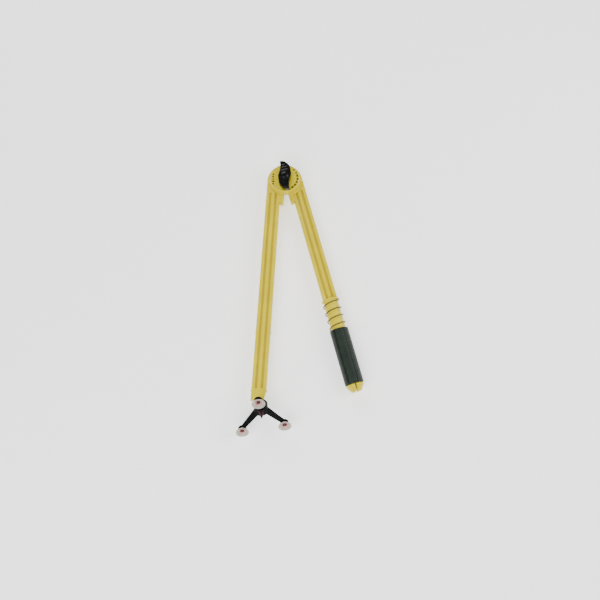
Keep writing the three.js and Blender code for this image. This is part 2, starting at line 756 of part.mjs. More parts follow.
function tripodSpider() {
  let solid = turned([
    [0, HUB_BACK],
    [HUB_R - HUB_EDGE, HUB_BACK],
    [HUB_R, HUB_BACK + HUB_EDGE],
    [HUB_R, HUB_FRONT - HUB_EDGE],
    [HUB_R - HUB_EDGE, HUB_FRONT],
    [0, HUB_FRONT],
  ]);
  for (let i = 0; i < 3; i += 1) {
    const [x, y] = cupCentre(i);
    const boss = turnedGeometry([
      [0, BOSS_BACK],
      [BOSS_R - BOSS_EDGE, BOSS_BACK],
      [BOSS_R, BOSS_BACK + BOSS_EDGE],
      [BOSS_R, BOSS_BACK + BOSS_T],
      [0, BOSS_BACK + BOSS_T],
    ], FINE);
    boss.translate(x, y, 0);
    solid = solid.add(spiderArm(i)).add(toSolid(boss));
  }
  for (let i = 0; i < 3; i += 1) {
    const [x, y] = cupCentre(i);
    const bossFront = BOSS_BACK + BOSS_T;
    solid = solid.subtract(rodUp(BOSS_R + GAP, x, y, bossFront, MOUTH, FINE));
    solid = solid.subtract(rodUp(PLUG_STEM_R + GAP / 2, x, y, BOSS_BACK - OVERSHOOT, MOUTH, SMALL));
  }
  solid = solid.subtract(rod(STEM_R + RUN, 0, MOUTH));
  solid = solid.subtract(rod(CLIP_R + GAP, HUB_FRONT - 2 * CLIP_T - 2 * GAP, MOUTH));
  return part("tripod_spider", solid, black());
}

function stemClip() {
  const z1 = HUB_FRONT - CLIP_T - GAP;
  const inner = STEM_R + GAP / 2;
  const ring = turned([
    [inner, z1 - CLIP_T],
    [CLIP_R, z1 - CLIP_T],
    [CLIP_R, z1],
    [inner, z1],
    [inner, z1 - CLIP_T],
  ], FINE);
  return part("stem_clip", ring, steel());
}

function coneRadiusAt(z) {
  const start = HUB_FRONT + GAP;
  return CONE_R * (POINT_END - z) / (POINT_END - start);
}

function centreCone() {
  const joint = POINT_END - STEEL_LENGTH;
  const z0 = HUB_FRONT - CLIP_T;
  const solid = turned([
    [0, z0],
    [CLIP_R - GAP, z0],
    [CLIP_R - GAP, HUB_FRONT + GAP],
    [CONE_R, HUB_FRONT + GAP],
    [coneRadiusAt(joint), joint],
    [0, joint],
  ], FINE);
  const socket = rod(SPIGOT_R + GAP / 2, joint - SPIGOT_L - GAP, MOUTH, SMALL);
  return part("centre_cone", solid.subtract(socket), red());
}

function centreTip() {
  const joint = POINT_END - STEEL_LENGTH + GAP;
  const solid = turned([
    [0, joint - SPIGOT_L],
    [SPIGOT_R, joint - SPIGOT_L],
    [SPIGOT_R, joint],
    [coneRadiusAt(joint), joint],
    [GAP / 2, POINT_END - GAP],
    [0, POINT_END],
  ], SMALL);
  return part("centre_tip", solid, steel());
}

function suctionCup(name, index) {
  const back = BOSS_BACK + BOSS_T + GAP;
  const inner = PLUG_STEM_R + GAP;
  const floor = back + CUP_NECK_T;
  const [x, y] = cupCentre(index);
  const geometry = turnedGeometry([
    [inner, back],
    [CUP_NECK_R, back],
    [CUP_NECK_R + CUP_WALL / 2, floor],
    [CUP_R - CUP_DROP - CUP_LIP, MOUTH - CUP_DROP],
    [CUP_R, MOUTH - CUP_LIP],
    [CUP_R, MOUTH],
    [CUP_R - CUP_LIP, MOUTH],
    [CUP_R - CUP_DROP - 2 * CUP_LIP, MOUTH - CUP_DROP + CUP_LIP],
    [CUP_NECK_R, floor + CUP_WALL],
    [inner, floor + CUP_WALL],
    [inner, back],
  ], ROUND);
  geometry.translate(x, y, 0);
  return part(name, toSolid(geometry), milky());
}

function cupPlug(name, index) {
  const headBack = BOSS_BACK + BOSS_T + GAP + CUP_NECK_T + CUP_WALL + GAP;
  const stemBack = BOSS_BACK + PLUG_EDGE;
  const [x, y] = cupCentre(index);
  const geometry = turnedGeometry([
    [0, stemBack],
    [PLUG_STEM_R, stemBack],
    [PLUG_STEM_R, headBack],
    [PLUG_R, headBack],
    [PLUG_R, headBack + PLUG_HEAD_T - PLUG_EDGE],
    [PLUG_R - PLUG_EDGE, headBack + PLUG_HEAD_T],
    [0, headBack + PLUG_HEAD_T],
  ], SMALL);
  geometry.translate(x, y, 0);
  return part(name, toSolid(geometry), red());
}

function suctionFoot() {
  const spin = new THREE.Group();
  spin.rotation.z = SPIN;
  spin.add(tripodSpider(), centreCone(), centreTip(), stemClip());
  for (let i = 0; i < 3; i += 1) {
    spin.add(suctionCup(`suction_cup_${i + 1}`, i), cupPlug(`cup_plug_${i + 1}`, i));
  }
  const tilt = new THREE.Group();
  tilt.rotation.x = -TILT;
  tilt.add(hubStem(), spin);
  const swivel = new THREE.Group();
  swivel.rotation.z = -SWIVEL;
  swivel.add(swivelKnuckle(), tiltPin(), tilt);
  const foot = new THREE.Group();
  foot.position.set(-FOOT_X, -FOOT_U, MID_Z);
  foot.rotation.x = Math.PI / 2;
  foot.add(swivel);
  return foot;
}

// ---- assembly ------------------------------------------------------------
function markerSide() {
  const side = new THREE.Group();
  side.add(markerLeg(), backCap(), pivotBolt(), frictionWasher(), scaleDisc(), springWasher());
  side.add(returnSpring(), gripSleeve(), guideRing());
  side.add(jaw("jaw_left", -1), jaw("jaw_right", 1));
  side.add(jawPin("jaw_pin_left", -1), jawPin("jaw_pin_right", 1), jawSpring());
  side.add(clampKnob(), knobInsert(), knobCap());
  return side;
}

function pivotSide() {
  const side = new THREE.Group();
  side.rotation.z = -OPENING;
  side.add(pivotLeg(), legPin("leg_pin_upper", PIN_UPPER_U), legPin("leg_pin_lower", PIN_LOWER_U));
  side.add(suctionFoot());
  return side;
}

const group = new THREE.Group();
group.add(markerSide(), pivotSide());

export default group;
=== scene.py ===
# A large board compass: two grooved yellow legs on a clamped head, a spring-loaded chuck for
# chalk or a marker on one leg, and a tilting foot with three suction cups on the other.
import math

import bmesh
import bpy
from mathutils import Matrix, Vector


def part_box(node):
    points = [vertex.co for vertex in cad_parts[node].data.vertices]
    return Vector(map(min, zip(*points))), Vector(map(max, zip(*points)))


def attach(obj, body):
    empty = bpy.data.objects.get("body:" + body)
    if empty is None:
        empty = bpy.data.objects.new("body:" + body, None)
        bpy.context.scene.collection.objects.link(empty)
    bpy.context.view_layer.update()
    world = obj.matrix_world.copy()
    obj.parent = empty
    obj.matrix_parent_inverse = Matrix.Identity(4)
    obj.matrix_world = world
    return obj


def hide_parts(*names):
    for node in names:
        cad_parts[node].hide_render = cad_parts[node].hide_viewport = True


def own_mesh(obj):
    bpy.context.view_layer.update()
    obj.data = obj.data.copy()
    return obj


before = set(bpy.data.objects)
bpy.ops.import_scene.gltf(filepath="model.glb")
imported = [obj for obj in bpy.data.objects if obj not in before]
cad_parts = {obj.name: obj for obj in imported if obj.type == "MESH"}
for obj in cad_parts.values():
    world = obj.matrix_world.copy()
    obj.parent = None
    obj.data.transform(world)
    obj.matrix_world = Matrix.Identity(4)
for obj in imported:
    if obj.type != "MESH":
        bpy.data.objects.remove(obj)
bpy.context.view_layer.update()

MM = 0.001
TURN = 2 * math.pi

# Sizes in millimetres. u is the distance from the pivot along a leg.
OPENING = math.radians(18.2)
SEAM = 0.3
HEAD_R = 36.5
NOTCH_R = 26
LEG_X = 22.25
INNER_X = 8
LEG_END = 459.5
LEG_EDGE = 2
BACK_Z = 10.5
MID_Z = 18.5
FRONT_Z = 26.5
LUG_END = 51
LUG_FOOT = 1
LUG_SLOPE = 3
SLANT_IN = 4.2
SLANT_STEEP = 5.35
GROOVE_X = 5.6
GROOVE_R = 2.5
GROOVE_DEPTH = 3
GROOVE_START = 30
GROOVE_END = 433

CAP_R = 19.5
CAP_INNER_R = 9.2
CAP_TOP = 10.2
BOLT_HOLE_R = 5.4
DISC_R = 32.4
DISC_FACE_R = 29.7
DISC_STEP_R = 22.8
DISC_Z = 26.8
DISC_TOP = 39.8
PRINT_Z = DISC_TOP - 0.5
NUMBER_R = 26.2
KNOB_Z = 40.7
KNOB_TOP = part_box("knob_cap")[1][2] / MM - 2.6
WING_Z = 44.7
NUT_R = 8.3
KNOB_BOSS_R = 12.5
DOME_R = 7.5
DOME_BORE_R = 7.8

SHOULDER_U = 274.5
SHOULDER_T = 3.5
SHOULDER_R = 17.6
CORE_R = 14.5
WIRE_R = 1.15
SPRING_R = 16.8
SPRING_TURNS = 3.7
SLEEVE_R = 18.5
SLEEVE_IN = 16
SLEEVE_START = 334
SLEEVE_END = 445
FLUTES = 6
FLUTE_TURN = 71
CHALK_R = 6.3
CHALK_DEPTH = 369.5
FORK_ROOT = 395.5
FORK_END = 421.5
FORK_Z = 7.7
JAW_PIN_U = 411.5
JAW_PIN_X = 8.6
JAW_ARM_Z = 7.4
JAW_EYE_R = 3
JAW_R = 14.1
JAW_NOSE_R = 17.2
JAW_SLIT = 3
JAW_END = 460

LEG_PIN_R = 1.5
LEG_PIN_PROUD = 1.4
LEG_PINS = (("leg_pin_upper", 325, MID_Z), ("leg_pin_lower", 440, MID_Z + 4))
FOOT_X = 18
FOOT_U = 456.5
SWIVEL = math.radians(13.8)
TILT = math.radians(37)
SPIN = math.radians(108.8)
SHANK_R = 3.6
SHANK_END = 26
NECK_R = 2.2
KNUCKLE_R = 6.2
HUB_R = 13
HUB_BACK = 8.3
HUB_FRONT = 30
ARM_HUB = 16.5
ARM_HALF_T = 3
CUP_RING_R = 46.2
BOSS_R = 7.9
BOSS_BACK = 40.5
BOSS_FRONT = 45.1
AXLE_HOLE_R = 2.9
CLIP_HOLE_R = 5.7
CONE_R = 5.4
CONE_SEAT_R = 5.1
SPIGOT_R = 0.9
STEEL_LENGTH = 6
POINT_END = 47.8
CUP_R = 12.4
CUP_NECK_R = 5.2
CUP_HOLE_R = 2.1
MOUTH = 53.3
PLUG_R = 3.9
PLUG_STEM_R = 1.9

# How finely round things are divided.
FINEST = 128
FINE = 96
ROUND = 64
SMALL = 48
TINY = 32
CLEAR = 60

# Places: along the marker leg, on the opened pivot leg, and about the foot's hub.
ALONG = Matrix.Translation((LEG_X * MM, 0, MID_Z * MM)) @ Matrix.Rotation(TURN / 4, 4, "X")
PIVOT_SIDE = Matrix.Rotation(-OPENING, 4, "Z")
KNUCKLE = (PIVOT_SIDE @ Matrix.Translation((-FOOT_X * MM, -FOOT_U * MM, MID_Z * MM))
           @ Matrix.Rotation(TURN / 4, 4, "X") @ Matrix.Rotation(-SWIVEL, 4, "Z"))
STEM = KNUCKLE @ Matrix.Rotation(-TILT, 4, "X")
FOOT = STEM @ Matrix.Rotation(SPIN, 4, "Z")


# ---- modelling by hand -----------------------------------------------------
def nothing_selected():
    if bpy.context.mode != "OBJECT":
        bpy.ops.object.mode_set(mode="OBJECT")
    bpy.ops.object.select_all(action="DESELECT")


def only(obj):
    nothing_selected()
    obj.select_set(True)
    bpy.context.view_layer.objects.active = obj


def editing(picked):
    """Edit mode on the active piece; picked is SELECT for all of it, or DESELECT for none."""
    bpy.ops.object.mode_set(mode="EDIT")
    bpy.ops.mesh.select_all(action=picked)


def start_point(name, point):
    """One vertex in edit mode, ready to be drawn out."""
    nothing_selected()
    bpy.ops.mesh.primitive_plane_add(size=MM)
    obj = bpy.context.object
    obj.name = name
    editing("SELECT")
    bpy.ops.mesh.merge(type="CENTER")
    bpy.ops.transform.translate(value=point)
    return obj


def draw_line(points):
    """Draws the selected vertex out from point to point."""
    for here, there in zip(points, points[1:]):
        step = [b - a for a, b in zip(here, there)]
        bpy.ops.mesh.extrude_vertices_move(TRANSFORM_OT_translate={"value": step})


def close_up(weld=1e-6):
    """Joins the ends that meet, turns the faces outwards and leaves edit mode."""
    bpy.ops.mesh.select_all(action="SELECT")
    bpy.ops.mesh.remove_doubles(threshold=weld)
    bpy.ops.mesh.select_all(action="SELECT")
    bpy.ops.mesh.normals_make_consistent(inside=False)
    bpy.ops.object.mode_set(mode="OBJECT")


def eased(points, steps=5):
    """Rounds each corner that has a third value, the length to round off on either side."""
    smooth = []
    for i, point in enumerate(points):
        if len(point) == 2:
            smooth.append(tuple(point))
            continue
        corner = Vector(point[:2])
        before = Vector(points[i - 1][:2])
        after = Vector(points[(i + 1) % len(points)][:2])
        first = corner + (before - corner).normalized() * point[2]
        last = corner + (after - corner).normalized() * point[2]
        for k in range(steps + 1):
            t = k / steps
            smooth.append(tuple(first * (1 - t) ** 2 + corner * 2 * t * (1 - t) + last * t * t))
    return smooth


def slab(name, outline, z0, z1):
    """A flat outline filled and pulled up from z0 to z1."""
    corners = [(x * MM, y * MM, z0 * MM) for x, y in outline]
    obj = start_point(name, corners[0])
    draw_line(corners)
    bpy.ops.mesh.select_all(action="SELECT")
    bpy.ops.mesh.edge_face_add()
    bpy.ops.mesh.extrude_region_move(TRANSFORM_OT_translate={"value": (0, 0, (z1 - z0) * MM)})
    close_up()
    return obj


def spun(name, profile, steps=FINE, ring=False):
    """A turned body about Z from radius and height pairs; a ring's profile closes on itself."""
    line = [(r * MM, 0, h * MM) for r, h in eased(profile)]
    if ring:
        line.append(line[0])
    obj = start_point(name, line[0])
    draw_line(line)
    bpy.ops.mesh.select_all(action="SELECT")
    bpy.ops.mesh.spin(steps=steps, angle=TURN, center=(0, 0, 0), axis=(0, 0, 1))
    close_up()
    return obj


def block(name, low, high):
    nothing_selected()
    centre = [(a + b) / 2 * MM for a, b in zip(low, high)]
    size = [(b - a) * MM for a, b in zip(low, high)]
    bpy.ops.mesh.primitive_cube_add(size=1, location=centre, scale=size)
    obj = bpy.context.object
    obj.name = name
    bpy.ops.object.transform_apply(location=True, rotation=True, scale=True)
    return obj


def placed(obj, place):
    obj.matrix_world = place
    only(obj)
    bpy.ops.object.transform_apply(location=True, rotation=True, scale=True)
    return obj


def applied(obj, kind, **settings):
    """Puts a modifier on a piece and applies it at once."""
    only(obj)
    step = obj.modifiers.new("step", kind)
    for key, value in settings.items():
        setattr(step, key, value)
    bpy.ops.object.modifier_apply(modifier=step.name)
    return obj


def combined(obj, tool, operation="DIFFERENCE"):
    """Cuts the tool out of a piece, or adds it, and throws the tool away."""
    applied(obj, "BOOLEAN", operation=operation, object=tool, solver="EXACT")
    bpy.data.objects.remove(tool)
    return obj


def joined(obj, *others):
    only(obj)
    for other in others:
        other.select_set(True)
    bpy.ops.object.join()
    return obj


def edges_rounded(obj, width, segments=2, sharper_than=40):
    return applied(obj, "BEVEL", width=width * MM, segments=segments, limit_method="ANGLE",
                   angle_limit=math.radians(sharper_than), harden_normals=False)


def rim_rounded(obj, z, width, segments=4):
    """Rounds the sharp rim that lies in the plane at height z."""
    only(obj)
    editing("DESELECT")
    mesh = bmesh.from_edit_mesh(obj.data)
    for edge in mesh.edges:
        level = all(abs(v.co.z - z * MM) < 1e-5 for v in edge.verts)
        if level and edge.is_manifold and edge.calc_face_angle() > 1:
            edge.select_set(True)
    bmesh.update_edit_mesh(obj.data)
    bpy.ops.mesh.bevel(offset=width * MM, segments=segments, affect="EDGES")
    bpy.ops.object.mode_set(mode="OBJECT")
    return obj


def arc(radius, start, end, steps, x=0, y=0):
    turns = [math.radians(start + (end - start) * k / steps) for k in range(steps + 1)]
    return [(x + radius * math.cos(a), y + radius * math.sin(a)) for a in turns]


def fitted(obj, body, finish, stands_for=(), smooth=38):
    """Shades a piece, gives it its finish and makes it ride on its body."""
    only(obj)
    bpy.ops.object.shade_smooth_by_angle(angle=math.radians(smooth))
    obj.data.materials.clear()
    obj.data.materials.append(finish)
    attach(obj, body)
    if stands_for:
        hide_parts(*stands_for)
    return obj


# ---- finishes --------------------------------------------------------------
class Value:
    """A number on a socket. Arithmetic on it adds the Math nodes."""

    def __init__(self, finish, socket):
        self.finish = finish
        self.socket = socket

    def math(self, operation, first, second):
        made = self.finish.node("ShaderNodeMath", {"operation": operation}, {0: first, 1: second})
        return Value(self.finish, made.outputs[0])

    def __add__(self, other):
        return self.math("ADD", self, other)

    __radd__ = __add__

    def __sub__(self, other):
        return self.math("SUBTRACT", self, other)

    def __rsub__(self, other):
        return self.math("SUBTRACT", other, self)

    def __mul__(self, other):
        return self.math("MULTIPLY", self, other)

    __rmul__ = __mul__

    def __abs__(self):
        return self.math("ABSOLUTE", self, 0)

    def at_most(self, other):
        return self.math("MINIMUM", self, other)


class Finish:
    """A material built from nodes round one Principled shader."""

    def __init__(self, name, **constants):
        self.material = bpy.data.materials.new(name)
        self.material.use_nodes = True
        self.tree = self.material.node_tree
        self.shader = self.tree.nodes["Principled BSDF"]
        for key, value in constants.items():
            self.shader.inputs[key.replace("_", " ")].default_value = value
        self.place = self.node("ShaderNodeTexCoord").outputs["Object"]
        self.height = None

    def node(self, kind, settings=None, inputs=None):
        made = self.tree.nodes.new(kind)
        for key, value in (settings or {}).items():
            if key == "stops":
                ramp = made.color_ramp.elements
                while len(ramp) < len(value):
                    ramp.new(0.5)
                for stop, (position, color) in zip(ramp, value):
                    stop.position = position
                    stop.color = color
            else:
                setattr(made, key, value)
        for key, value in (inputs or {}).items():
            self.feed(made.inputs[key], value)
        return made

    def feed(self, socket, value):
        if isinstance(value, Value):
            value = value.socket
        if isinstance(value, bpy.types.NodeSocket):
            self.tree.links.new(value, socket)
        else:
            socket.default_value = value

    def noise(self, size, detail=2.0, roughness=0.5, place=None, stretch=None):
        """Noise whose features are about size millimetres across."""
        spot = place or self.place
        if stretch is not None:
            spot = self.node("ShaderNodeMapping", None, {"Vector": spot, "Scale": stretch}).outputs[0]
        made = self.node("ShaderNodeTexNoise", None, {
            "Vector": spot, "Scale": 1 / (size * MM), "Detail": detail, "Roughness": roughness})
        return Value(self, made.outputs[0])

    def axis(self, index):
        made = self.node("ShaderNodeSeparateXYZ", None, {0: self.place})
        return Value(self, made.outputs[index])

    def facing(self, index):
        normal = self.node("ShaderNodeNewGeometry").outputs["Normal"]
        made = self.node("ShaderNodeSeparateXYZ", None, {0: normal})
        return Value(self, made.outputs[index])

    def step(self, value, low, high):
        made = self.node("ShaderNodeMapRange", {"interpolation_type": "SMOOTHSTEP"}, {
            "Value": value, "From Min": low, "From Max": high})
        return Value(self, made.outputs[0])

    def edges(self, radius, gain):
        """1 on sharp edges, fading to 0 within radius millimetres of them."""
        soft = self.node("ShaderNodeBevel", {"samples": 4}, {"Radius": radius * MM}).outputs[0]
        plain = self.node("ShaderNodeNewGeometry").outputs["Normal"]
        made = self.node("ShaderNodeVectorMath", {"operation": "DOT_PRODUCT"}, {0: soft, 1: plain})
        return ((1 - Value(self, made.outputs["Value"])) * gain).at_most(1)

    def blend(self, mask, first, second):
        made = self.node("ShaderNodeMix", {"data_type": "RGBA"}, {0: mask, 6: first, 7: second})
        return made.outputs[2]

    def colored(self, color):
        self.feed(self.shader.inputs["Base Color"], color)

    def roughened(self, value):
        self.feed(self.shader.inputs["Roughness"], value)

    def bumped(self, value, depth, strength=1.0):
        """Adds relief: value 1 stands depth millimetres above value 0."""
        inputs = {"Height": value, "Distance": depth * MM, "Strength": strength}
        if self.height is not None:
            inputs["Normal"] = self.height
        self.height = self.node("ShaderNodeBump", None, inputs).outputs[0]
        self.feed(self.shader.inputs["Normal"], self.height)


def tone(red, green, blue):
    """Screen colour 0 to 255 as a linear shader colour."""
    def linear(c):
        c /= 255
        return c / 12.92 if c <= 0.04045 else ((c + 0.055) / 1.055) ** 2.4
    return (linear(red), linear(green), linear(blue), 1)


def yellow_moulding(name, with_groove_shade=False):
    made = Finish(name, IOR=1.5, Specular_IOR_Level=0.3)
    cloudy = made.noise(38, 3)
    mottled = made.noise(2.6, 4, 0.6)
    body = made.blend(made.step(cloudy, 0.35, 0.65), tone(213, 195, 2), tone(203, 184, 1))
    body = made.blend(made.step(mottled, 0.3, 0.75) * 0.35, body, tone(206, 186, 20))
    if with_groove_shade:
        # Painted shade: the groove floors, which face up or down and lie nearer the leg's middle than
        # its faces, are coloured darker.
        depth = abs(made.axis(2) - MID_Z * MM)
        painted_groove_shade = (1 - made.step(depth, 0.0052, 0.0076)) * made.step(abs(made.facing(2)), 0.3, 0.8)
        body = made.blend(painted_groove_shade * 0.55, body, tone(168, 142, 4))
    worn = made.edges(0.9, 5) * made.step(made.noise(5, 3), 0.4, 0.62)
    body = made.blend(worn * 0.5, body, tone(222, 206, 80))
    scuffs = made.step(made.noise(1.1, 3, 0.7, stretch=(9, 1, 4)), 0.66, 0.74)
    body = made.blend(scuffs * 0.22, body, tone(160, 138, 20))
    made.colored(body)
    made.roughened(0.3 + 0.16 * made.noise(7, 3) + 0.14 * scuffs + 0.1 * worn)
    made.bumped(made.noise(0.55, 2), 0.012)
    made.bumped(made.noise(14, 2), 0.09)
    made.bumped(scuffs, 0.01)
    return made.material


def black_gloss(name):
    made = Finish(name, IOR=1.5, Specular_IOR_Level=0.24)
    haze = made.noise(9, 3)
    body = made.blend(haze, tone(4, 4, 5), tone(9, 10, 10))
    worn = made.edges(0.7, 6) * made.step(made.noise(3, 3), 0.42, 0.6)
    body = made.blend(worn * 0.5, body, tone(66, 68, 70))
    made.colored(body)
    fine = made.step(made.noise(0.9, 3, 0.7, stretch=(7, 1, 3)), 0.62, 0.72)
    made.roughened(0.16 + 0.12 * haze + 0.14 * fine + 0.12 * worn)
    made.bumped(made.noise(0.8, 2), 0.01)
    made.bumped(made.noise(6, 2), 0.05)
    return made.material


def green_grip(name):
    made = Finish(name, IOR=1.5, Specular_IOR_Level=0.24)
    cloudy = made.noise(16, 3)
    body = made.blend(made.step(cloudy, 0.3, 0.7), tone(21, 31, 24), tone(28, 39, 31))
    worn = made.edges(0.8, 5) * made.step(made.noise(3, 3), 0.38, 0.6)
    body = made.blend(worn * 0.4, body, tone(72, 84, 74))
    dust = made.step(made.noise(1.3, 4, 0.7), 0.6, 0.75)
    body = made.blend(dust * 0.12, body, tone(76, 84, 74))
    made.colored(body)
    made.roughened(0.42 + 0.14 * cloudy + 0.12 * dust)
    made.bumped(made.noise(0.5, 2), 0.035)
    made.bumped(made.noise(9, 2), 0.06)
    return made.material


def milky_vinyl(name, centre):
    """Cloudy vinyl, with a painted pink glow towards the red plug at the cup's centre, standing for
    the plug's red light shining through.
    """
    made = Finish(name, IOR=1.45, Specular_IOR_Level=0.5, Transmission_Weight=0.3,
                  Subsurface_Weight=0.35, Subsurface_Scale=0.004)
    made.shader.inputs["Subsurface Radius"].default_value = (1.0, 0.7, 0.6)
    offset = made.node("ShaderNodeVectorMath", {"operation": "DISTANCE"}, {
        0: made.place, 1: tuple(centre)}).outputs["Value"]
    # Painted glow: the red plug's light through the vinyl is painted as pink near the cup's centre.
    painted_plug_glow = 1 - made.step(Value(made, offset), 0.0055, 0.0098)
    cloudy = made.noise(5, 3)
    body = made.blend(cloudy, tone(192, 194, 178), tone(172, 175, 158))
    body = made.blend(painted_plug_glow * 0.8, body, tone(226, 158, 156))
    made.colored(body)
    made.roughened(0.26 + 0.16 * made.noise(2, 3))
    made.bumped(made.noise(1.5, 2), 0.02)
    return made.material


def red_plastic(name, color):
    made = Finish(name, IOR=1.5, Specular_IOR_Level=0.45)
    cloudy = made.noise(4, 3)
    dark = tuple(c * 0.7 for c in color[:3]) + (1,)
    made.colored(made.blend(cloudy, color, dark))
    made.roughened(0.3 + 0.15 * made.noise(1.5, 3))
    made.bumped(made.noise(0.7, 2), 0.012)
    return made.material


def plated_metal(name, bright, dull, gloss=0.22):
    made = Finish(name, Metallic=1.0)
    cloudy = made.noise(3, 4, 0.6)
    spots = made.step(made.noise(0.8, 3, 0.7), 0.64, 0.72)
    body = made.blend(cloudy, bright, dull)
    made.colored(made.blend(spots * 0.5, body, tuple(c * 0.45 for c in dull[:3]) + (1,)))
    made.roughened(gloss + 0.14 * cloudy + 0.2 * spots)
    made.bumped(made.noise(0.4, 2, stretch=(1, 1, 6)), 0.006)
    return made.material


def soft_matt(name, color, grain=0.6, gloss=0.35):
    made = Finish(name, IOR=1.48, Specular_IOR_Level=gloss)
    cloudy = made.noise(8, 3)
    dark = tuple(c * 0.8 for c in color[:3]) + (1,)
    made.colored(made.blend(cloudy, color, dark))
    made.roughened(0.5 + 0.2 * cloudy)
    made.bumped(made.noise(grain, 2), 0.03)
    return made.material


def printed_ink(name):
    made = Finish(name, IOR=1.45, Specular_IOR_Level=0.3)
    thin = made.step(made.noise(0.7, 3), 0.55, 0.75)
    made.colored(made.blend(thin * 0.4, tone(22, 17, 5), tone(88, 74, 20)))
    made.roughened(0.5 + 0.15 * thin)
    made.bumped(made.noise(0.5, 2), 0.006)
    return made.material


LEG_YELLOW = yellow_moulding("yellow_plastic_painted_groove_shade", with_groove_shade=True)
YELLOW = yellow_moulding("yellow_plastic")
BLACK = black_gloss("black_gloss_plastic")
GREEN = green_grip("dark_green_grip")
PLUG_RED = red_plastic("cup_plug_red", tone(62, 0, 7))
# Painted shade: the cone is the plugs' red moulding, coloured darker and more maroon as it looks in
# shade.
SHADED_CONE_RED = red_plastic("centre_cone_red_painted_shade", tone(46, 4, 18))
STEEL = plated_metal("plated_steel", tone(188, 190, 190), tone(150, 150, 148))
# Painted shade and reflection: the steel springs are coloured dark olive for their shadow and the
# yellow legs they reflect.
SHADED_SPRING_STEEL = plated_metal("spring_wire_painted_shade", tone(118, 104, 78), tone(70, 58, 38), 0.3)
BRASS = plated_metal("turned_brass", tone(214, 178, 96), tone(176, 140, 70))
NYLON = soft_matt("natural_nylon", tone(226, 222, 208))
RUBBER = soft_matt("black_rubber", tone(26, 26, 27), 0.9)
FOOT_BLACK = soft_matt("foot_black_plastic", tone(10, 11, 12), 0.5, 0.08)
# Painted shade: the steel point is coloured dark grey for the shade it sits in.
SHADED_STEEL_POINT = plated_metal("steel_point_painted_shade", tone(70, 66, 66), tone(34, 30, 32), 0.25)
INK = printed_ink("printed_scale_ink")


# ---- legs ------------------------------------------------------------------
def leg_outline(end, slant):
    """Round the head, into the notch between the lugs, down the lug and round the plank."""
    notch_side = (-NOTCH_R * math.sin(OPENING), -NOTCH_R * math.cos(OPENING))
    head_turn = 270 - math.degrees(OPENING)
    return eased(arc(HEAD_R, 0, head_turn, FINE) + [
        notch_side,
        (SEAM / 2, -NOTCH_R),
        (SEAM / 2, -LUG_END),
        (INNER_X - LUG_FOOT, -LUG_END + LUG_SLOPE / 2),
        (INNER_X, -LUG_END + LUG_SLOPE),
        (INNER_X, -end + slant * SLANT_STEEP),
        (INNER_X + slant, -end),
        (HEAD_R, -end)])


def groove_cutter(first_u, last_u):
    """The four round-ended grooves of a leg, two in each face."""
    past_face = GROOVE_DEPTH + 1
    faces = (
        (BACK_Z - past_face, BACK_Z + GROOVE_DEPTH, BACK_Z + GROOVE_DEPTH),
        (FRONT_Z - GROOVE_DEPTH, FRONT_Z + past_face, FRONT_Z - GROOVE_DEPTH))
    cutters = []
    for x in (LEG_X - GROOVE_X, LEG_X + GROOVE_X):
        for z0, z1, floor in faces:
            top = arc(GROOVE_R, 0, 180, 10, x, -first_u)
            bottom = arc(GROOVE_R, 180, 360, 10, x, -last_u)
            cutters.append(rim_rounded(slab("groove", top + bottom, z0, z1), floor, 1.3, 3))
    return joined(*cutters)


def leg_moulding(name, side, end, slant, groove_end):
    """One leg in the closed position; side is 1 for the marker leg and -1 for the pivot leg.
    Half of its head is cut away for the other leg's half to lap over."""
    leg = slab(name, leg_outline(end, slant), BACK_Z, FRONT_Z)
    rim_rounded(leg, BACK_Z, LEG_EDGE)
    rim_rounded(leg, FRONT_Z, LEG_EDGE)
    combined(leg, groove_cutter(GROOVE_START, groove_end))
    z0, z1 = (MID_Z - SEAM / 2, FRONT_Z + 2) if side > 0 else (BACK_Z - 2, MID_Z + SEAM / 2)
    lap_r = HEAD_R + 2 * SEAM
    combined(leg, spun("lap", [(0, z0), (lap_r, z0), (lap_r, z1), (0, z1)], 160))
    edges_rounded(leg, 0.4, 2, 50)
    if side < 0:
        turned_over(leg)
    return leg


def turned_over(obj):
    """Turns a piece into its mirror image across X, with its faces still outwards."""
    obj.scale.x = -1
    only(obj)
    bpy.ops.object.transform_apply(location=True, rotation=True, scale=True)
    editing("SELECT")
    bpy.ops.mesh.normals_make_consistent(inside=False)
    bpy.ops.object.mode_set(mode="OBJECT")


def make_marker_leg():
    leg = leg_moulding("marker_leg_moulding", 1, SHOULDER_U - 1, 0, SHOULDER_U - 8)
    core = spun("marker_leg_core", [
        (0, SHOULDER_U - SHOULDER_T),
        (SHOULDER_R - 1, SHOULDER_U - SHOULDER_T),
        (SHOULDER_R, SHOULDER_U - 2.6, 0.6),
        (SHOULDER_R, SHOULDER_U, 0.7),
        (CORE_R + 1.1, SHOULDER_U),
        (CORE_R, SHOULDER_U + 1.1, 0.6),
        (CORE_R, FORK_END),
        (CHALK_R, FORK_END),
        (CHALK_R, CHALK_DEPTH),
        (0, CHALK_DEPTH)])
    placed(core, ALONG)
    fork_gap = block("fork_gap", (0, -FORK_END - 2, MID_Z - FORK_Z),
                     (2 * LEG_X, -FORK_ROOT, MID_Z + FORK_Z))
    combined(core, fork_gap)
    joined(leg, core)
    fitted(leg, "marker_leg", LEG_YELLOW, ["marker_leg"])


